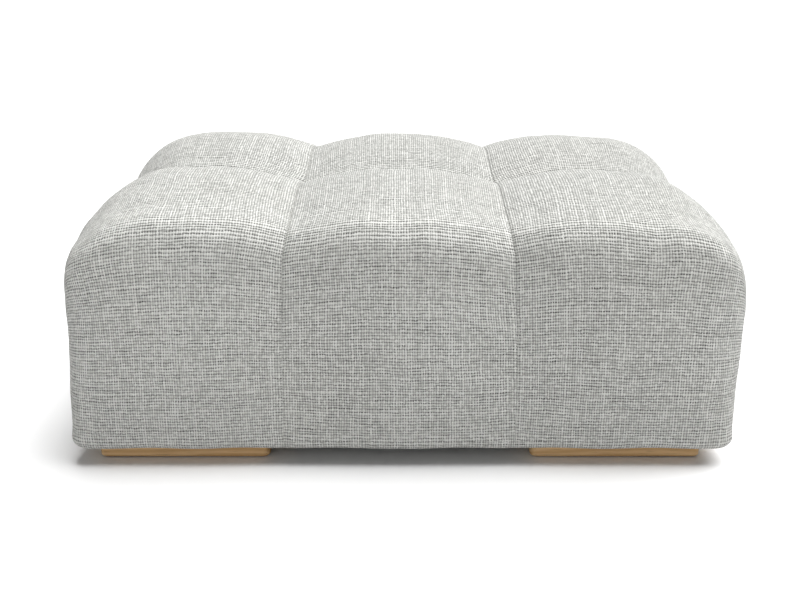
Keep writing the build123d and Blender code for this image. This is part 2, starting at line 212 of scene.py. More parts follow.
# %% Light and floor
sky_strength = 0.17
key_strength, key_disc = 5.3, math.radians(66)
key_tilt_right, key_tilt_back = math.radians(20), math.radians(10)
fill_strength, fill_disc = 0.62, math.radians(60)
fill_tilt, fill_turn_left = math.radians(80), math.radians(20)
floor_reach = 40.0
floor_seen, floor_lit, floor_dull = (0.97,) * 3, (0.72,) * 3, (0.60,) * 3
floor_mottle = 0.04

scene.view_settings.view_transform = "Standard"
scene.world = bpy.data.worlds.new("studio")
scene.world.use_nodes = True
sky = Tree(scene.world.node_tree)
sky_shown = sky.node("ShaderNodeLightPath").outputs["Is Camera Ray"]
sky.fill(sky.tree.nodes["Background"], {
    "Color": (1.0, 1.0, 1.0),
    "Strength": sky.times(sky_shown, 1.0 - sky_strength, sky_strength),
})


def soft_sun(name, strength, disc, turn):
    """Sun with a wide disc: a lamp wall far away, as soft as the disc is wide."""
    data = bpy.data.lights.new(name, "SUN")
    data.energy = strength
    data.angle = disc
    sun = bpy.data.objects.new(name, data)
    sun.rotation_euler = turn
    scene.collection.objects.link(sun)


def floor_paint():
    """White paint that throws less light back at the piece than it shows to a camera."""
    material, t, shader = plain_material("floor_paint", floor_seen, 0.6)
    seen = t.node("ShaderNodeLightPath").outputs["Is Camera Ray"]
    shade = t.span(t.noise(t.place(), 3.0), 0.3, 0.7, 0.0, floor_mottle)
    lit = t.mix(shade, floor_lit, floor_dull)
    t.fill(shader, {"Base Color": t.mix(seen, lit, floor_seen)})
    return material


soft_sun("key", key_strength, key_disc, (-key_tilt_back, key_tilt_right, 0.0))
soft_sun("fill", fill_strength, fill_disc, (fill_tilt, 0.0, -fill_turn_left))
floor_points = floor_reach * np.array([(-1, -1, 0), (1, -1, 0), (1, 1, 0), (-1, 1, 0)])
floor = make_piece("floor", floor_points, [np.array([[0, 1, 2, 3]])], smooth=False)
floor.data.materials.append(floor_paint())
print("lamps", key_strength, fill_strength, "sky", sky_strength)

# %% [markdown]
# ## Woven cloth
# The cover is a chunky basket weave of slub yarn: each yarn swells and thins along its length,
# rows stand closer or further apart, and painted shade darkens the gaps, which show as short
# dashes between the rows. The weave is worked out from the cloth's own flat coordinates, which
# follow each panel over its crown.
#
# The weave group first finds which row and which column of yarn a point lies on, after the
# coordinates have been nudged so that no yarn is quite straight or evenly spaced. A yarn's
# rounded top is one minus the square of the distance from its middle line, and the crest of a
# column that lies over gets a painted highlight. The thin columns cross over the painted shade
# line between two thick rows at some places and not at others, which breaks that line into
# dashes, and slow patches make the dashes fade.

# %% Weave group
crowd_share, drift_share, wander_share = 1.1, 0.7, 0.5
row_half, column_half, slub_swell = 0.55, 0.36, 0.6
over_from, mean_tone = 0.62, 0.46
dash_span, line_span, patch_span = (0.46, 0.84), (0.58, 0.96), (0.36, 0.60)


def build_weave():
    """Slub basket weave: flat cloth place in; relief, gap mask for painted shade, and yarn tone
    with a painted highlight out.
    """
    t, given, made = new_group(
        "slub_weave", ["Cloth"], ["Column pitch", "Row pitch"], ["Height", "Gap", "Tone"])
    place = given["Cloth"]
    u, v, _ = t.split(place)
    drift, wander = t.noise(place, 14.0, 1.0), t.noise(place, 90.0, 1.0)
    crowd_u = t.noise(t.join(u, 0.0, 3.0), 90.0)
    crowd_v = t.noise(t.join(0.0, v, 7.0), 80.0)

    def yarn(at, pitch, crowd):
        """Number of the yarn that a place lies on, the distance from its middle line, and the
        number of the gap that it is nearest to."""
        count = t.math("DIVIDE", at, pitch)
        for nudge, share in ((crowd, crowd_share), (drift, drift_share), (wander, wander_share)):
            count = t.times(nudge, share, count)
        number = t.math("FLOOR", count)
        off = t.times(t.math("SUBTRACT", count, number), 2.0, -1.0)
        return number, t.math("ABSOLUTE", off), t.math("ROUND", count)

    def top(off, slub, thin):
        """Rounded top of a yarn whose half width swells and thins along it."""
        share = t.math("MINIMUM", t.math("DIVIDE", off, t.times(slub, slub_swell, thin)), 1.0)
        return t.math("SUBTRACT", 1.0, t.times(share, share))

    column, column_off, _ = yarn(u, given["Column pitch"], crowd_u)
    row, row_off, row_gap = yarn(v, given["Row pitch"], crowd_v)
    row_own = t.random(t.join(row, 0.0, 11.0))
    column_own = t.random(t.join(column, 0.0, 23.0))
    cross_own = t.random(t.join(column, row, 5.0))
    row_slub = t.noise(t.join(t.times(u, 55.0), t.times(row, 7.3)), 1.0)
    column_slub = t.noise(t.join(t.times(column, 5.7), t.times(v, 70.0)), 1.0)
    row_top = top(row_off, row_slub, row_half)
    column_top = top(column_off, column_slub, column_half)
    over = t.math("GREATER_THAN", t.times(column_own, 0.35, cross_own), over_from)
    column_high = t.times(column_top, t.times(over, 0.50, 0.38))
    height = t.math("MAXIMUM", t.times(row_top, 0.90), column_high)

    patch = t.noise(t.join(t.times(u, 42.0), t.times(v, 120.0), 9.0), 1.0)
    open_gap = t.noise(t.join(t.times(u, 26.0), t.times(row_gap, 4.3), 2.0), 1.0)
    crossed = t.times(t.span(column_top, 0.10, 0.60), t.times(over, 0.45, 0.52))
    dash = t.times(t.span(row_off, *dash_span), t.math("SUBTRACT", 1.0, crossed))
    dash = t.times(dash, t.span(patch, *patch_span, 0.60, 1.1))
    dash = t.times(dash, t.span(open_gap, 0.36, 0.62, 0.70, 1.02))
    line = t.times(t.span(column_off, *line_span), t.span(cross_own, 0.35, 0.75, 0.75, 0.10))
    line = t.times(line, t.span(patch, *patch_span, 1.0, 0.60))
    # Where the gap mask is high the relief dips, and the colour is painted dark as shade between
    # the yarns.
    gap = t.math("MAXIMUM", dash, line)

    fuzz = t.noise(place, 900.0, 3.0, 0.7)
    tone = t.times(t.math("SUBTRACT", row_own, 0.5), 0.08, mean_tone)
    tone = t.times(t.math("SUBTRACT", column_own, 0.5), 0.07, tone)
    # Painted highlight: the crest of a column that lies over is made lighter.
    tone = t.times(t.times(over, column_top), 0.16, tone)
    tone = t.times(t.math("SUBTRACT", fuzz, 0.5), 0.5, tone)
    height = t.times(fuzz, 0.15, t.times(gap, -0.5, height))
    t.fill(made, {"Height": height, "Gap": gap, "Tone": tone})
    return t.tree


def woven(t, place, pitches, tones):
    """Weave group laid on a place, and its yarn coloured between two tones."""
    inputs = {"Cloth": place, "Column pitch": pitches[0], "Row pitch": pitches[1]}
    weave = t.group(weave_group, inputs)
    return weave, t.mix(t.span(weave["Tone"], 0.0, 1.0), *tones)


weave_group = build_weave()
print("weave group nodes", len(weave_group.nodes))

# %% Cover cloth
column_pitch, row_pitch = 0.0039, 0.0050
cloth_tones = (0.46, 0.465, 0.437), (0.82, 0.82, 0.79)
handled_tint, handled_share = (0.58, 0.56, 0.51), 0.10
# The dark gap colour and its share below are painted shade: they darken the cloth between the
# yarns.
gap_shade_color, gap_shade_share = (0.06, 0.06, 0.055), 0.92
cloth_relief = 0.0018


def cover_cloth():
    """Pale grey cloth with painted shade in its gaps and a painted highlight on raised yarns;
    yarns vary a little in tone, and relief is bumped.
    """
    material, t, shader = plain_material("cover_cloth", (0.62, 0.62, 0.60), 0.92)
    place = t.node("ShaderNodeUVMap", uv_map="cloth").outputs[0]
    weave, yarn = woven(t, place, (column_pitch, row_pitch), cloth_tones)
    handled = t.span(t.noise(place, 5.0, 3.0), 0.3, 0.7, 0.0, handled_share)
    yarn = t.mix(handled, yarn, handled_tint)
    t.fill(shader, {
        "Specular IOR Level": 0.2, "Sheen Weight": 0.18, "Sheen Roughness": 0.5,
        "Base Color": t.mix(t.times(weave["Gap"], gap_shade_share), yarn, gap_shade_color),
        "Normal": t.bump(weave["Height"], cloth_relief, 1.0),
    })
    return material


cloth = cover_cloth()
print("cloth nodes", len(cloth.node_tree.nodes))

# %% [markdown]
# ## Timber, boards, felt and webbing
# The frame is hidden in use, but someone who opens the underside sees it, so every node gets
# the finish of its real stuff. Two more node groups do most of it. One is wood grain, which
# needs a place stretched along the piece: slow noise bends the growth lines, and fine noise
# drawn out along the grain makes the pores. The other is loose fibre, for felt, pressed board
# and non-woven cloth.


# %% Grain and fibre groups
def build_grain():
    """Wood grain. Along runs with the grain and Across over it: grain bands, pores, relief."""
    ways = ["Along", "Across", "Deep"]
    t, given, made = new_group(
        "wood_grain", [], [*ways, "Ring pitch"], ["Band", "Pore", "Height"])
    along, across, deep = [given[way] for way in ways]

    def drawn_out(length, girth):
        """Place scaled by length along the grain and by girth over it."""
        return t.join(t.times(along, length), t.times(across, girth), t.times(deep, girth))

    bend = t.noise(drawn_out(2.5, 16.0), 1.0, 3.0)
    ring = t.math("DIVIDE", t.math("ADD", across, t.times(deep, 0.45)), given["Ring pitch"])
    wave = t.math("SINE", t.times(bend, 22.0, t.times(ring, 2 * math.pi)))
    pore = t.span(t.noise(drawn_out(22.0, 620.0), 1.0, 2.0, 0.6), 0.56, 0.72)
    band = t.times(t.math("SUBTRACT", bend, 0.5), 0.9, t.times(wave, 0.28, 0.5))
    height = t.times(pore, -0.8, t.times(band, 0.25))
    t.fill(made, {"Band": band, "Pore": pore, "Height": height})
    return t.tree


def build_fibre():
    """Loose fibre: tone and relief from noise at the fibre's own size and at a slow one."""
    t, given, made = new_group("loose_fibre", ["Place"], ["Fineness"], ["Tone", "Height"])
    inputs = {0: given["Place"], "Scale": given["Fineness"]}
    scaled = t.node("ShaderNodeVectorMath", inputs, operation="SCALE").outputs[0]
    warp = t.node("ShaderNodeTexNoise", {"Vector": scaled, "Scale": 0.35}).outputs["Color"]
    hair, clump = t.noise(warp, 9.0, 4.0, 0.65), t.noise(scaled, 0.12)
    t.fill(made, {"Tone": t.times(hair, 0.7, t.times(clump, 0.3)), "Height": hair})
    return t.tree


grain_group, fibre_group = build_grain(), build_fibre()
print("grain nodes", len(grain_group.nodes), "fibre nodes", len(fibre_group.nodes))

# %% Finishes of the hidden pieces
ply_pitch, ply_share = 0.0028, 0.35
webbing_pitch = 0.0022


def wood(name, light, dark, pore_color, axis, ring_pitch, roughness, pore_share=0.6):
    """Timber whose grain runs along axis: 0 for X, 1 for Y, 2 for Z."""
    material, t, shader = plain_material(name, light, roughness)
    parts = t.split(t.place())
    inputs = {"Along": parts[axis], "Across": parts[(axis + 2) % 3],
              "Deep": parts[(axis + 1) % 3], "Ring pitch": ring_pitch}
    grain = t.group(grain_group, inputs)
    color = t.mix(t.span(grain["Band"], 0.1, 0.9), dark, light)
    t.fill(shader, {
        "Base Color": t.mix(t.times(grain["Pore"], pore_share), color, pore_color),
        "Roughness": t.span(grain["Band"], 0.0, 1.0, roughness + 0.10, roughness - 0.05),
        "Normal": t.bump(grain["Height"], 0.0003, 0.5),
    })
    return material


def plywood():
    """Birch board: grain on its faces, and dark and light plies that show along its edges."""
    colors = (0.66, 0.50, 0.30), (0.52, 0.37, 0.20), (0.30, 0.19, 0.10)
    material = wood("plywood", *colors, 0, 0.020, 0.6, 0.35)
    t = Tree(material.node_tree)
    ply = t.math("FRACT", t.math("DIVIDE", t.split(t.place())[2], ply_pitch))
    share = t.times(t.math("GREATER_THAN", ply, 0.5), ply_share)
    color = t.tree.nodes["Principled BSDF"].inputs["Base Color"]
    t.feed(color, t.mix(share, color.links[0].from_socket, (0.36, 0.23, 0.12)))
    return material


def fibrous(name, low, high, fineness, roughness, relief=0.0006):
    """Felt, pressed board or non-woven cloth."""
    material, t, shader = plain_material(name, high, roughness)
    inputs = {"Place": t.place(), "Fineness": fineness}
    fibre = t.group(fibre_group, inputs)
    t.fill(shader, {
        "Specular IOR Level": 0.25,
        "Base Color": t.mix(t.span(fibre["Tone"], 0.25, 0.75), low, high),
        "Normal": t.bump(fibre["Height"], relief, 0.8),
    })
    return material


def webbing():
    """Black elastic webbing: a close plain weave, with painted shade in its gaps and a painted
    highlight on its raised yarns.
    """
    material, t, shader = plain_material("webbing", (0.06, 0.06, 0.065), 0.8)
    tones = (0.035, 0.035, 0.04), (0.11, 0.11, 0.115)
    weave, yarn = woven(t, t.place(), (webbing_pitch, webbing_pitch), tones)
    t.fill(shader, {
        # The gaps are painted near black as shade between the yarns.
        "Base Color": t.mix(t.times(weave["Gap"], 0.8), yarn, (0.01, 0.01, 0.01)),
        "Normal": t.bump(weave["Height"], 0.0005, 0.8),
    })
    return material


# %% Finish of every node
# Timbers: light, dark and pore colour, grain axis, ring pitch, roughness and share of pores.
pine_grain = (0.006, 0.62, 0.25)
timbers = {
    "oak": ((0.80, 0.53, 0.265), (0.63, 0.375, 0.160), (0.36, 0.20, 0.08), 0, 0.011, 0.48),
    "pine": ((0.72, 0.54, 0.31), (0.58, 0.38, 0.18), (0.42, 0.26, 0.12), 0, *pine_grain),
    "pine_cross": ((0.71, 0.53, 0.31), (0.57, 0.37, 0.18), (0.41, 0.25, 0.12), 1, *pine_grain),
    "pine_upright": ((0.71, 0.53, 0.30), (0.57, 0.37, 0.17), (0.41, 0.25, 0.12), 2, *pine_grain),
}
# Fibrous stuffs: dark and light colour, fineness, roughness and depth of relief.
fibres = {
    "hardboard": ((0.16, 0.09, 0.05), (0.27, 0.17, 0.10), 160.0, 0.55, 0.0002),
    "felt": ((0.13, 0.12, 0.11), (0.30, 0.28, 0.26), 230.0, 0.97),
    "dust_cloth": ((0.008, 0.008, 0.009), (0.035, 0.035, 0.037), 320.0, 0.9),
    "seat_filling": ((0.66, 0.62, 0.52), (0.86, 0.83, 0.74), 420.0, 0.95, 0.0009),
    "rod": ((0.62, 0.62, 0.56), (0.80, 0.80, 0.74), 120.0, 0.32, 0.0001),
}
finishes = {name: wood(name, *look) for name, look in timbers.items()}
finishes["plywood"] = plywood()
finishes.update((name, fibrous(name, *look)) for name, look in fibres.items())
finishes["webbing"], finishes["cover_cloth"] = webbing(), cloth
grain_ways = {"pine_cross": ("cross_stretcher", "top_rail_left", "top_rail_right", "loose_tenons"),
              "pine_upright": ("post", "stud")}
for entry in frame["record"]["subparts"]:
    finish = entry["material_slot"]
    for way, starts in grain_ways.items():
        if entry["node"].startswith(starts):
            finish = way
    worn = frame["nodes"][entry["node"]].data.materials
    worn.clear()
    worn.append(finishes[finish])

# %% [markdown]
# ## The cell's form
# A cell is a plump pad: flat at the hem, a front that bows a few millimetres, a rounded upper
# edge, a crown, and a shoulder that dives into the channel between the rows. Its sides pull in
# to the channels between the columns. An end cell also rolls over to its own side, seen from
# the front along a quarter ellipse, and round its corner, seen from above. Every line of it is
# a formula of two parameters: how far out from the channel, and how far along from the hem.

# %% Cell measures, in metres
column_seam = 0.176
channel_reach = 0.150
channel_power = 1.7
half_width, half_depth, crown_top = 0.525, 0.390, 0.430
front_bulge = 0.005
front_plane = half_depth - front_bulge
hem_level = 0.030
hem_radius = 0.017
edge_fall, edge_run, edge_tighten, edge_rounds = 0.038, 0.040, 0.3, 8
crown_rise = 0.030
ridge_y, ridge_round = -0.160, 0.040
front_slope = 0.206
shoulder_slope, shoulder_curve = 0.13, 1.10
top_pull, front_pull, hem_pull = 0.027, 0.026, 0.003
front_over = 1.3
row_crossing_share = 0.10
side_run, side_fall, side_power = 0.165, 0.165, 2.35
side_start, edge_start = half_width - side_run, crown_top - crown_rise - edge_fall
front_foot = hem_level + hem_radius
corner_high, corner_low = 0.076, 0.030
side_pull_run, side_pull_power = 0.250, 1.25
side_pull, side_hem_pull, side_face = 0.046, 0.003, 0.02
groove_depth, groove_reach, groove_low = 0.003, 0.006, 0.2
row_groove_depth, row_groove_reach = 0.008, 0.009
hem_inner_x, hem_inner_y = 0.460, 0.325


def smooth(value, low, high):
    """Smoothstep: 0 below low, 1 above high, with an S between."""
    share = np.clip((value - low) / (high - low), 0, 1)
    return share * share * (3 - 2 * share)


def quarter(out, run, fall, power=2.0):
    """Fall of a quarter superellipse: 0 until out is 0, then down to fall when out reaches run.
    A power of 2 is a plain ellipse, and a higher one has a squarer corner."""
    share = np.clip(out / run, 0, 1)
    return fall * (1 - (1 - share ** power) ** (1 / power))


def off_seam(x, end):
    """Distance across from the column seam, of which a centre cell has one on either side."""
    return x - column_seam if end else column_seam - np.abs(x)


def column_pull(x, end):
    """Share of the column channel's pull, 1 at the seam and 0 beyond its reach, and the
    distance from the seam."""
    away = off_seam(x, end)
    return np.clip(1 - away / channel_reach, 0, 1) ** channel_power, np.clip(away, 0, None)


def top_height(x, y, end):
    """Height of the cell's top over a place. From the ridge it slopes to the front along a
    hyperbola and falls to the row seam along a hyperbola plus a parabola, and the channels,
    their grooves and the roll to the side come off."""
    pull, away = column_pull(x, end)
    off = y - ridge_y
    lean = np.sqrt(off ** 2 + ridge_round ** 2) - ridge_round
    back = np.clip(off, 0, None)
    shoulder = shoulder_slope * lean + shoulder_curve * back ** 2
    shoulder = shoulder * (1 - row_crossing_share * pull)
    height = crown_top - np.where(off < 0, front_slope * lean, shoulder)
    height = height - top_pull * pull - groove_depth * np.exp(-away / groove_reach)
    height = height - row_groove_depth * np.exp(np.clip(y, None, 0) / row_groove_reach)
    return height - quarter(x - side_start, side_run, side_fall, side_power) * end


def front_reach(x, z, end):
    """How far the cell's front stands out: bowed front less channel and corner."""
    pull, away = column_pull(x, end)
    low, high = front_foot, edge_start
    share = np.clip((z - low) / (high - low), 0, front_over)
    bow = front_bulge * (1 - (2 * share - 1) ** 2)
    depth = hem_pull + (front_pull - hem_pull) * np.clip(share, 0, 1)
    groove = groove_depth * (groove_low + (1 - groove_low) * share) * np.exp(-away / groove_reach)
    run = corner_low + (corner_high - corner_low) * np.clip(share, 0, 1)
    corner = quarter(x - (half_width - run), run, run) * end
    return front_plane + bow - depth * pull - groove - corner


def side_draw(y, z):
    """How far an end cell's side is drawn in toward the channel between the rows."""
    away = -np.clip(y, None, 0)
    pull = np.clip(1 - away / side_pull_run, 0, 1) ** side_pull_power
    share = np.clip(z / crown_top, 0, 1) ** 2
    groove = row_groove_depth * share * np.exp(-away / row_groove_reach)
    return (side_hem_pull + (side_pull - side_hem_pull) * share) * pull + groove


def edge_radii(x, end):
    """Run and fall of the rounded upper front edge, which tightens toward the side."""
    tighten = 1 - edge_tighten * smooth(x, side_start, half_width) * end
    return edge_run * tighten, edge_fall * tighten


# %% [markdown]
# The strip that runs from the hem over the crown to the row seam is a grid. Along it the
# parameter passes through the front, the rounded edge, the crown and the shoulder. The rounded
# edge is a quarter ellipse set between the front line and the top line, found by repeating
# its two equations a few times, because each line leans on the other.

# %% Strip of a cell
def strip_point(x, along, end):
    """Points of the strip. along runs 0 to 1 up the front, to 2 round the edge and to 3 over
    the top to the row seam; x is the place across, before the side is drawn in."""
    run, fall = edge_radii(x, end)

    def rounded(turn, z):
        """Place on the rounded edge: it is mended round by round, from a first guess of z."""
        for _ in range(edge_rounds):
            y = -front_reach(x, z, end) + run * (1 - np.cos(turn))
            z = top_height(x, y, end) - fall * (1 - np.sin(turn))
        return y, z

    _, edge_z = rounded(0 * x, edge_start)
    z_front = front_foot + (edge_z - front_foot) * np.clip(along, 0, 1)
    y_front = -front_reach(x, z_front, end)
    y_edge, z_edge = rounded(math.pi / 2 * np.clip(along - 1, 0, 1), z_front)
    y_last, _ = rounded(math.pi / 2 + 0 * x, z_edge)
    y_top = y_last * (1 - np.clip(along - 2, 0, 1))
    z_top = top_height(x, y_top, end)
    y = np.where(along < 1, y_front, np.where(along < 2, y_edge, y_top))
    z = np.where(along < 1, z_front, np.where(along < 2, z_edge, z_top))
    return y, z


def place_across(x, y, z, end):
    """Final place: an end cell's side is drawn in, and more so nearer to its face."""
    drawn = side_draw(y, z) * smooth(x, side_start, half_width - side_face) * end
    return stack(x - drawn, y, z)


def strip_over(x, end):
    """Strip of points over a table of places across, one row for each step along."""
    y, z = strip_point(x, np.repeat(along_line[:, None], x.shape[1], 1), end)
    return place_across(x, y, z, end)


across_steps, roll_steps = 48, 44
seam_crowd, top_crowd = 1.3, 1.25
roll_turn, roll_less = math.radians(77), math.radians(19)
front_steps, edge_steps, top_steps = 76, 24, 84
along_line = np.concatenate([
    np.linspace(0, 1, front_steps + 1)[:-1],
    np.linspace(1, 2, edge_steps + 1)[:-1],
    3 - np.linspace(1, 0, top_steps + 1) ** top_crowd,
])
out_share = np.linspace(0, 1, across_steps + 1) ** seam_crowd


def end_strip():
    """Strip of an end cell: across it x runs out from the seam, then rolls over the side by
    equal angles, further round on the front than on the top, where the side panel is sewn on."""
    flat_x = column_seam + (side_start - column_seam) * out_share
    turn_end = roll_turn - roll_less * smooth(along_line, 1.0, 2.2)
    turn = turn_end[:, None] * np.linspace(0, 1, roll_steps + 1)[None, 1:]
    rolled = side_start + side_run * np.sin(turn)
    x = np.concatenate([np.repeat(flat_x[None], len(along_line), 0), rolled], axis=1)
    return strip_over(x, True), x


def centre_strip():
    """Strip of a centre cell, between its two seams."""
    half = column_seam * (1 - out_share)
    line = np.concatenate([-half[:-1], half[::-1]])
    return strip_over(np.repeat(line[None], len(along_line), 0), False)


end_points, end_x = end_strip()
centre_points = centre_strip()
show("end strip", end_points)
show("centre strip", centre_points)

# %% [markdown]
# ## Side panel
# An end cell's side is closed by a panel of its own, sewn to the strip where the roll is
# nearly upright, out of sight from the front. Its edge points are the strip's own, so the two
# meet without a gap. Inside them it is a blend of its four edges in height and depth, and each
# point's distance out is found by halving: the point lies where the strip's form would be.

# %% Side panel
halvings = 30


def inside_form(x, y, z):
    """Where a point lies in the end cell's form at x: under 0 inside, over 0 outside."""
    run, fall = edge_radii(x, True)
    near = np.clip(1 - (y + front_reach(x, z, True)) / run, 0, None)
    high = np.clip(1 - (top_height(x, y, True) - z) / fall, 0, None)
    return near ** 2 + high ** 2 - 1


def cloth_run(points, axis=0):
    """Length passed over at each point of a line, or of a grid's lines along axis."""
    steps = np.linalg.norm(np.diff(points, axis=axis), axis=-1)
    return np.cumsum(np.insert(steps, 0, 0, axis=axis), axis=axis)


def arc_share(line):
    """Share of its length at each point of a line."""
    gone = cloth_run(line)
    return gone / gone[-1]


def side_panel(rim, rim_x):
    """Panel inside the strip's last column, rim. Its corner is half way round the edge."""
    corner = int(np.argmin(np.abs(along_line - 1.5)))
    front, top = rim[:corner + 1, 1:], rim[corner:, 1:]
    up, back = arc_share(front)[:, None, None], arc_share(top)[None, :, None]
    low = stack(front[0, 0] * (1 - back[0, :, 0]), np.full(len(top), front[0, 1]))
    rise = front[0, 1] + (top[-1, 1] - front[0, 1]) * up[:, 0, 0]
    far = stack(np.zeros(len(front)), rise)
    flat = (1 - back) * front[:, None] + back * far[:, None] + (1 - up) * low[None] + up * top[None]
    flat -= (1 - up) * (1 - back) * front[0] + (1 - up) * back * far[0]
    flat -= up * (1 - back) * front[-1] + up * back * top[-1]
    y, z = flat[..., 0], flat[..., 1]
    near, out = np.full_like(y, side_start), np.full_like(y, half_width)
    for _ in range(halvings):
        middle = (near + out) / 2
        hit = inside_form(middle, y, z) > 0
        out = np.where(hit, middle, out)
        near = np.where(hit, near, middle)
    x = (near + out) / 2
    x[:, 0], x[-1, :] = rim_x[:corner + 1], rim_x[corner:]
    panel = place_across(x, y, z, True)
    panel[:, 0], panel[-1, :] = rim[:corner + 1], rim[corner:]
    return panel


panel_points = side_panel(end_points[:, -1], end_x[:, -1])
show("side panel", panel_points)

# %% [markdown]
# ## Hem
# Below the front the cloth rolls under in a small arc and is stapled to the base, just outside
# the black dust cloth. The arc leaves the cell at right angles to its outline, also round the
# corner, so the outline is followed and every step goes in along its own normal.

# %% Hem
hem_steps, under_steps = 8, 4


def hem_rows(outline, end):
    """Rows from the outline down round the hem's quarter arc and in to the stapled edge."""
    flow = np.gradient(outline[:, :2], axis=0)
    flow /= np.linalg.norm(flow, axis=1)[:, None]
    outward = stack(flow[:, 1], -flow[:, 0])
    outward[0], outward[-1] = (0, -1), (1, 0) if end else (0, -1)
    rows = []
    for step in range(hem_steps + 1):
        turn = math.pi / 2 * step / hem_steps
        plan = outline[:, :2] - outward * hem_radius * (1 - math.cos(turn))
        level = np.full(len(plan), outline[0, 2] - hem_radius * math.sin(turn))
        rows.append(np.column_stack([plan, level]))
    inner = rows[-1].copy()
    inner[:, 0] = np.minimum(inner[:, 0], hem_inner_x)
    inner[:, 1] = np.maximum(inner[:, 1], -hem_inner_y)
    inner[outline[:, 1] > -hem_inner_y, 0] = hem_inner_x
    for step in range(1, under_steps + 1):
        rows.append(rows[hem_steps] + (inner - rows[hem_steps]) * step / under_steps)
    return np.array(rows)


# %% [markdown]
# ## Laying the weave on the form
# Cloth keeps its yarn lengths, so its flat coordinates can't be read off X and Z on a crowned
# form. They are found as a cutter would: the grid's points are let go on a flat table with
# springs of the real lengths between neighbours, along, across and on both diagonals. Along
# the channels the cloth is eased a little, which draws the rows down toward them.

# %% Flat coordinates
ease_share = 0.03
spring_step, spring_rounds, spring_push = 4, 600, 1.6


def relax(flat, lengths, pinned):
    """Springs on a grid: each round moves every point by the mean of what its springs ask."""
    held = flat[:, pinned].copy()
    for _ in range(spring_rounds):
        move = np.zeros_like(flat)
        count = np.zeros(flat.shape[:2])
        for (first, second), rest in lengths:
            gap = flat[second] - flat[first]
            far = np.linalg.norm(gap, axis=-1)
            push = gap * (0.5 * (1 - rest / np.maximum(far, 1e-6)))[..., None]
            move[first] += push
            move[second] -= push
            count[first] += 1
            count[second] += 1
        flat = flat + spring_push * move / count[..., None]
        flat[:, pinned] = held
    return flat


def flatten(points, pinned, ease):
    """Flat cloth place of each grid point, from springs on every fourth row and column."""
    rows, columns = [np.unique(np.append(np.arange(0, count, spring_step), count - 1))
                     for count in points.shape[:2]]
    coarse = points[np.ix_(rows, columns)]
    every, here, there = slice(None), slice(None, -1), slice(1, None)
    pairs = [((every, here), (every, there)), ((here, every), (there, every)),
             ((here, here), (there, there)), ((here, there), (there, here))]
    lengths = [((first, second), np.linalg.norm(coarse[second] - coarse[first], axis=-1))
               for first, second in pairs]
    flat = stack(cloth_run(coarse, 1), cloth_run(coarse) * (1 + ease))
    flat = relax(flat, lengths, pinned)
    for axis, known in ((1, columns), (0, rows)):
        wanted = np.arange(points.shape[axis])
        flat = np.apply_along_axis(lambda line: np.interp(wanted, known, line), axis, flat)
    return flat


end_flat = flatten(end_points, [0], ease_share)
centre_flat = flatten(centre_points, [0, -1], ease_share)
panel_flat = flatten(np.swapaxes(panel_points, 0, 1)[::-1], [], 0.0)
panel_flat = np.swapaxes(panel_flat[::-1], 0, 1)
show("end strip flat", end_flat)
show("centre strip flat", centre_flat)

# %% [markdown]
# ## Sewing the cells
# Each cell becomes one closed piece: strip, side panel and hem are welded along their shared
# points, and the walls that face the neighbours are closed behind the seams. The other cells
# are the same form turned over in X or Y, with their own place on the cloth and their own
# slight lumps, since no two cells are stuffed quite alike.

# %% Lumps and drooping rows
lump_waves, lump_reach, lump_height = 14, 0.07, 0.0009
lump_fade, lump_rise = 0.04, (0.05, 0.12)
pad_middle = {True: (0.30, -0.18, 0.2), False: (0.0, -0.18, 0.2)}
droop_height, droop_outer = 0.011, 0.7
droop_side, droop_rise, droop_back = (0.40, 0.53), (0.06, 0.34), (0.0, 0.25)


def lumps(points, seed):
    """Slow waves about lump_reach long, a sum of sines with seeded directions and phases."""
    random = np.random.default_rng(seed)
    total = np.zeros(points.shape[:-1])
    for _ in range(lump_waves):
        way = random.normal(size=3)
        way /= np.linalg.norm(way)
        wave = 2 * math.pi / (lump_reach * random.uniform(0.7, 2.2))
        total += np.sin(points @ way * wave + random.uniform(0, 2 * math.pi))
    return total / math.sqrt(lump_waves)


def soften(points, seed, end):
    """Add the lumps, fading to nothing at the seams so that neighbours still meet."""
    if seed is None:
        return points
    x, y, z = np.moveaxis(points, -1, 0)
    fade = smooth(off_seam(x, end), 0.0, lump_fade) * smooth(-y, 0.0, lump_fade)
    fade = fade * smooth(z, *lump_rise)
    outward = points - np.array(pad_middle[end])
    outward /= np.linalg.norm(outward, axis=-1)[..., None]
    return points + outward * (lumps(points, seed) * lump_height * fade)[..., None]


def droop(strip, end):
    """Shift of the cloth's rows: they run lower beside a channel and at the outer shoulder."""
    x, y, z = np.moveaxis(strip, -1, 0)
    pull, _ = column_pull(x, end)
    beside = np.maximum(pull, droop_outer * smooth(x, *droop_side) * end)
    share = smooth(z, *droop_rise) * smooth(-y, *droop_back)
    return stack(0 * x, droop_height * beside * share)


# %% Closed cells
panel_off = 1.37
wall_steps = 12
weld_reach = 0.00002


def fan(points, start):
    """Triangles from one middle point to each pair of neighbours round a loop of points."""
    ring = np.arange(len(points))
    wedges = np.column_stack([0 * ring, ring + 1, (ring + 1) % len(ring) + 1])
    return np.append(np.mean(points, axis=0)[None], points, axis=0), wedges + start


def closing_walls(strip, hem, end):
    """Outlines of the walls behind the seams and under the pad: each is a loop of points."""
    row_end, drop = strip[-1], np.linspace(1, 0, wall_steps)[1:]

    def upright(top):
        """Line down the corner where two seams meet, from the cloth to the hem's level."""
        level = hem_level + drop * (top[2] - hem_level)
        return stack(0 * drop + top[0], 0 * drop, level)

    near = upright(row_end[0])
    walls = [[hem[::-1, 0], strip[1:, 0], near]]
    if end:
        walls.append([row_end, panel_points[::-1, -1][1:], hem[1:, -1], near[::-1]])
        walls.append([hem[-1], near[-1:]])
    else:
        far = upright(row_end[-1])
        walls.append([hem[::-1, -1], strip[1:, -1], far])
        walls.append([row_end, far, near[::-1]])
        walls.append([hem[-1], far[-1:], near[-1:]])
    return [np.concatenate(wall) for wall in walls]


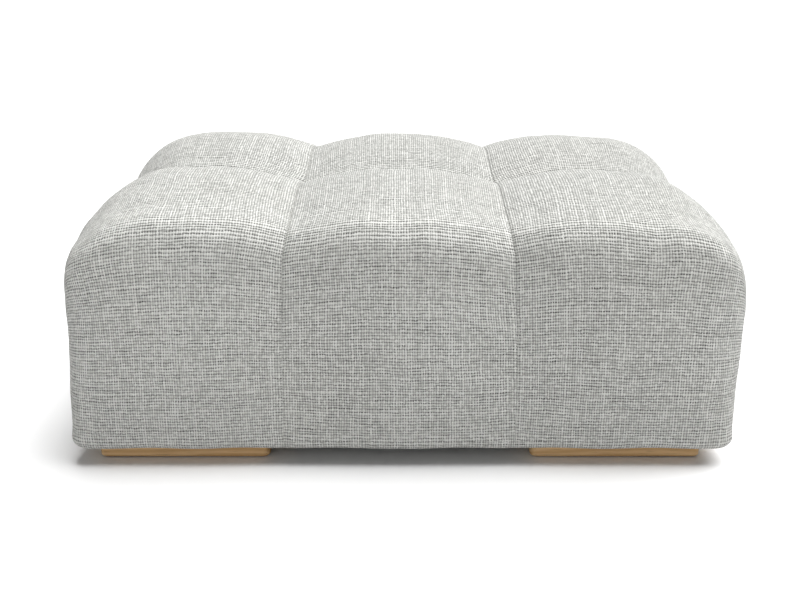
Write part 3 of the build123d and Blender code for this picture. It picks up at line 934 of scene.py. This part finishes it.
def cell_plan(end, seed):
    """Points, cloth places and faces of one cell, seen as the front right or centre one. With
    no seed it has no lumps."""
    strip, flat = (end_points, end_flat) if end else (centre_points, centre_flat)
    cut = strip.shape[1]
    hem = hem_rows(np.concatenate([strip[0], panel_points[0, 1:]]) if end else strip[0], end)
    down = cloth_run(hem)
    grids = [(soften(strip, seed, end), flat + droop(strip, end))]
    if end:
        grids.append((soften(panel_points, seed, end), panel_flat + (0.0, panel_off)))
    front_down, side_down = down[:, :cut], down[:, cut - 1:]
    front_place = stack(flat[0][:, 0] + 0 * front_down, -front_down)
    grids.append((hem[:, :cut], front_place))
    if end:
        side_u, side_v = np.moveaxis(panel_flat[0], -1, 0)
        side_place = stack(side_u + 0 * side_down, side_v - side_down + panel_off)
        grids.append((hem[:, cut - 1:], side_place))
    points, uv, quads, triangles = [], [], [], []
    count = 0
    for grid, place in grids:
        points.append(grid.reshape(-1, 3))
        uv.append(place.reshape(-1, 2))
        quads.append(grid_faces(*grid.shape[:2], count))
        count += len(points[-1])
    for wall in closing_walls(strip, hem, end):
        ring, wedges = fan(wall, count)
        points.append(ring)
        uv.append(ring[:, 1:])
        triangles.append(wedges)
        count += len(ring)
    faces = [np.concatenate(quads), np.concatenate(triangles)]
    return np.concatenate(points), np.concatenate(uv), faces


def weld(piece):
    """Merge the points that grids share and turn every face outward. Gives the number of the
    welded point that each point has become."""
    work = bmesh.new()
    work.from_mesh(piece.data)
    pairs = bmesh.ops.find_doubles(work, verts=work.verts, dist=weld_reach)["targetmap"]
    kept = np.arange(len(work.verts))
    for double, target in pairs.items():
        kept[double.index] = target.index
    bmesh.ops.weld_verts(work, targetmap=pairs)
    bmesh.ops.recalc_face_normals(work, faces=work.faces)
    open_edges = sum(not edge.is_manifold for edge in work.edges)
    print(piece.name, "open edges", open_edges, "points", len(work.verts))
    work.to_mesh(piece.data)
    work.free()
    return (np.cumsum(kept == np.arange(len(kept))) - 1)[kept]


# %% [markdown]
# ## Stuffing
# Filling presses the cloth out between its seams, most in the middle of a panel and least
# beside them. That comes from a short cloth simulation with air pressure and no gravity, on a
# plain end cell and a plain centre cell, held still along every seam and under the hem. The
# cloth swells, so it starts from a slightly smaller shape. The way each point moved is kept,
# and all six cells are moved by it, so the weave is not disturbed.

# %% Stuffing
stuffing = {
    "quality": 4, "mass": 0.3, "tension_stiffness": 8, "compression_stiffness": 8,
    "shear_stiffness": 5, "bending_stiffness": 6.0,
    "use_pressure": True, "uniform_pressure_force": 0.9,
}
stuffing_frames = 20
start_smaller, most_move = 0.0015, 0.007
seam_free, hem_free, hold_steps = (0.001, 0.016), (0.010, 0.030), 8


def read(items, name):
    """One vector of every item of a mesh, as an n by 3 array."""
    flat = np.empty(len(items) * 3)
    items.foreach_get(name, flat)
    return flat.reshape(-1, 3)


def seam_hold(points, end):
    """How firmly each point is held: 1 at seams, hem and hidden walls, 0 a little way off."""
    x, y, z = np.moveaxis(points, -1, 0)
    free = smooth(off_seam(x, end), *seam_free) * smooth(-y, *seam_free)
    return 1 - free * smooth(z, hem_level + hem_free[0], hem_level + hem_free[1])


def stuff(end):
    """Move of every point of a cell's plan after its cloth has been blown up and has settled."""
    points, uv, faces = cell_plan(end, None)
    trial = make_piece("trial_cell", points, faces, uv)
    welded = weld(trial)
    start = read(trial.data.vertices, "co")
    share = np.round(seam_hold(start, end) * hold_steps) / hold_steps
    inward = start_smaller * (1 - share)
    smaller = start - read(trial.data.vertex_normals, "vector") * inward[:, None]
    trial.data.vertices.foreach_set("co", smaller.astype(np.float32).ravel())
    trial.data.update()
    hold = trial.vertex_groups.new(name="sewn")
    for level in np.unique(share):
        hold.add(np.nonzero(share == level)[0].tolist(), float(level), "REPLACE")
    solver = trial.modifiers.new("stuffing", "CLOTH")
    for name, value in stuffing.items():
        setattr(solver.settings, name, value)
    solver.settings.vertex_group_mass = hold.name
    solver.settings.effector_weights.gravity = 0
    solver.collision_settings.use_collision = False
    solver.point_cache.frame_end = stuffing_frames
    for frame_number in range(1, stuffing_frames + 1):
        scene.frame_set(frame_number)
    settled = trial.evaluated_get(bpy.context.evaluated_depsgraph_get())
    move = read(settled.data.vertices, "co") - start
    scene.frame_set(1)
    bpy.data.objects.remove(trial)
    far = np.linalg.norm(move, axis=1)[:, None]
    print("stuffing moved, mm", (far.mean() * 1000).round(2), "most", (far.max() * 1000).round(2))
    return (move * np.minimum(1, most_move / np.maximum(far, 1e-9)))[welded]


stuffed = {end: stuff(end) for end in (True, False)}

# %% [markdown]
# ## Unevenness of the six cells
# The left cells are slimmer than the right ones, the seams don't run quite straight and the
# rolled hem hangs in slow waves. Short tables over the height, or over the distance from the
# middle, give these departures in metres.

# %% Unevenness of the six cells
fill_levels = (0.03, 0.10, 0.20, 0.27, 0.34, 0.39, 0.43)
side_fill = {
    -1: (-0.005, -0.006, -0.008, -0.006, 0.006, 0.002, 0.0),
    0: (0,) * 7,
    1: (0.002, 0.003, 0.007, 0.010, 0.017, 0.006, 0.003),
}
sag_places = (0.0, 0.20, 0.26, 0.33, 0.38, 0.43, 0.48)
top_sag = {
    -1: (0, -0.003, -0.004, -0.002, -0.002, 0, 0),
    0: (0.0025, 0, 0, 0, 0, 0, 0),
    1: (0, 0, 0, 0.004, 0.008, 0.003, 0),
}
seam_levels = (0.03, 0.20, 0.34, 0.39, 0.43)
seam_drift = {
    -1: (-0.006, -0.005, -0.001, 0.008, 0.010),
    1: (0.004, 0.003, -0.002, -0.011, -0.014),
}
drift_reach = 0.09
lean_across, lean_back, sag_rise = (0.34, 0.50), (0.0, 0.12), (0.25, 0.38)
hem_hang, hang_pitch, hang_mean, hang_swing = 0.0024, 0.152, 0.62, 0.38
hang_front, hang_side, hang_rise = (0.352, 0.374), (0.484, 0.508), (0.032, 0.090)


def hang(points):
    """How far the rolled hem hangs below its staples, in a slow wave along the outline."""
    x, y, z = np.abs(np.moveaxis(points, -1, 0))
    outer = np.maximum(smooth(y, *hang_front), smooth(x, *hang_side))
    wave = hang_mean + hang_swing * np.cos(2 * math.pi * (x + y - half_depth) / hang_pitch)
    return hem_hang * wave * outer * (1 - smooth(z, *hang_rise))


def settle(points, column):
    """Lean of the sides over the height and sag of the tops over the distance from the middle."""
    x, y, z = np.moveaxis(points, -1, 0)
    away = np.abs(x)
    lean = np.interp(z, fill_levels, side_fill[column])
    lean = lean * smooth(away, *lean_across) * smooth(-y, *lean_back)
    sag = np.interp(away, sag_places, top_sag[column]) * smooth(z, *sag_rise)
    return stack(x + lean, y, z - sag - hang(points))


def wander(points):
    """Drift of the two column seams over the height, which all the cells near them follow."""
    x, y, z = np.moveaxis(points, -1, 0)
    shift = np.zeros_like(x)
    for side, drift in seam_drift.items():
        near = np.exp(-((x - side * column_seam) / drift_reach) ** 2)
        shift += near * np.interp(z, seam_levels, drift)
    return stack(x + shift, y, z)


# %% Six cells
cut_step_x, cut_step_y, cut_row_x = 0.61, 0.83, 3.1
first_seed, row_seed = 40, 7


def sew_cell(name, column, row, seed, nodes):
    """One closed cell: column is -1, 0 or 1 and row -1 in front, 1 behind."""
    end = column != 0
    points, uv, faces = cell_plan(end, seed)
    turned = np.array([column if end else 1, -row, 1])
    points = wander(settle(points + stuffed[end], column) * turned)
    cut_from = (cut_step_x * column + cut_row_x * row, cut_step_y * row)
    piece = make_piece(name, points, faces, uv * (column if end else 1, 1) + cut_from)
    weld(piece)
    piece.data.materials.append(cloth)
    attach(piece, "root")
    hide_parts(*nodes)


for row, row_name in ((-1, "front"), (1, "rear")):
    for column, column_name in ((-1, "left"), (0, "centre"), (1, "right")):
        place = f"{row_name}_{column_name}"
        nodes = [f"cover_{place}", f"cell_foam_{place}"]
        sew_cell(f"cushion_{place}", column, row, first_seed + row_seed * row + column, nodes)

# %% [markdown]
# ## Small fasteners
# Turned over, the ottoman shows how it is held together: the hem is stapled to the base boards
# just outside the dust cloth, and each foot is held by two screws between its felt pads. A
# staple is a flat bar along the hem's edge, and a screw head is a turned profile with a
# hexagon socket. Where a foot covers the hem its staples can't be seen, so there are none.

# %% Staples and foot screws
staple_length, staple_width, staple_height = 0.0100, 0.0010, 0.0006
staple_pitch, staple_inset, staple_sunk = 0.046, 0.007, 0.3
foot_middle, foot_half = np.array([0.345, 0.303]), np.array([0.136, 0.045])
screw_reach, screw_turns, socket_flat = 0.035, 36, 0.0017
head_radii = np.array([0, 0, 0, 0.0030, 0.0042, 0.0046, 0.0046, 0])
head_levels = np.array([0.0019, 0.0019, 0.0011, 0.0010, 0.0013, 0.0018, 0.0022, 0.0022])


def zinc_steel():
    """Zinc plated steel with a slightly uneven gloss."""
    material, t, shader = plain_material("zinc_steel", (0.64, 0.64, 0.62), 0.35)
    gloss = t.span(t.noise(t.place(), 700.0), 0.3, 0.7, 0.28, 0.46)
    t.fill(shader, {"Metallic": 1.0, "Roughness": gloss})
    return material


def staple_places():
    """Middles of the staples round the hem, and for each whether it lies along X."""
    line_x, line_y = hem_inner_x + staple_inset, hem_inner_y + staple_inset
    found = []
    for along_x, reach, off in ((1, line_x, line_y), (0, line_y, line_x)):
        count = int(2 * (reach - staple_length) / staple_pitch)
        for place in np.linspace(-1, 1, count) * (reach - staple_length):
            for side in (-off, off):
                found.append((place, side, 1) if along_x else (side, place, 0))
    found = np.array(found)
    beside = np.abs(np.abs(found[:, :2]) - foot_middle) >= foot_half + staple_length
    return found[beside.any(axis=1)]


def fasten(name, points, faces):
    """Metal piece that rides with the ottoman. points is copies by points by 3, and faces are
    those of one copy."""
    numbered = faces[None] + points.shape[1] * np.arange(len(points))[:, None, None]
    piece = make_piece(name, points.reshape(-1, 3), [numbered.reshape(-1, 4)], smooth=False)
    weld(piece)
    piece.data.materials.append(steel)
    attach(piece, "root")


steel = zinc_steel()
places = staple_places()
ends = (-0.5, 0.5)
unit = np.array([[x, y, z] for x in ends for y in ends for z in ends])
sizes = np.where(places[:, 2:] > 0, (staple_length, staple_width, staple_height),
                 (staple_width, staple_length, staple_height))
level = np.full(len(places), hem_level - staple_sunk * staple_height)
middles = np.column_stack([places[:, :2], level])
box_quads = np.array([[0, 1, 3, 2], [4, 6, 7, 5], [0, 4, 5, 1],
                      [2, 3, 7, 6], [0, 2, 6, 4], [1, 5, 7, 3]])
fasten("hem_staples", unit[None] * sizes[:, None] + middles[:, None], box_quads)

turn = np.linspace(0, 2 * math.pi, screw_turns + 1)
radii, levels = [np.repeat(line[:, None], len(turn), axis=1) for line in (head_radii, head_levels)]
radii[1:3] = socket_flat / np.cos(np.mod(turn, math.pi / 3) - math.pi / 6)
head = stack(radii * np.cos(turn), radii * np.sin(turn), levels)
sides = (-1, 1)
screws = np.array([(x * foot_middle[0] + step * screw_reach, y * foot_middle[1], 0)
                   for x in sides for y in sides for step in sides])
fasten("foot_screws", head.reshape(1, -1, 3) + screws[:, None], grid_faces(*head.shape[:2]))
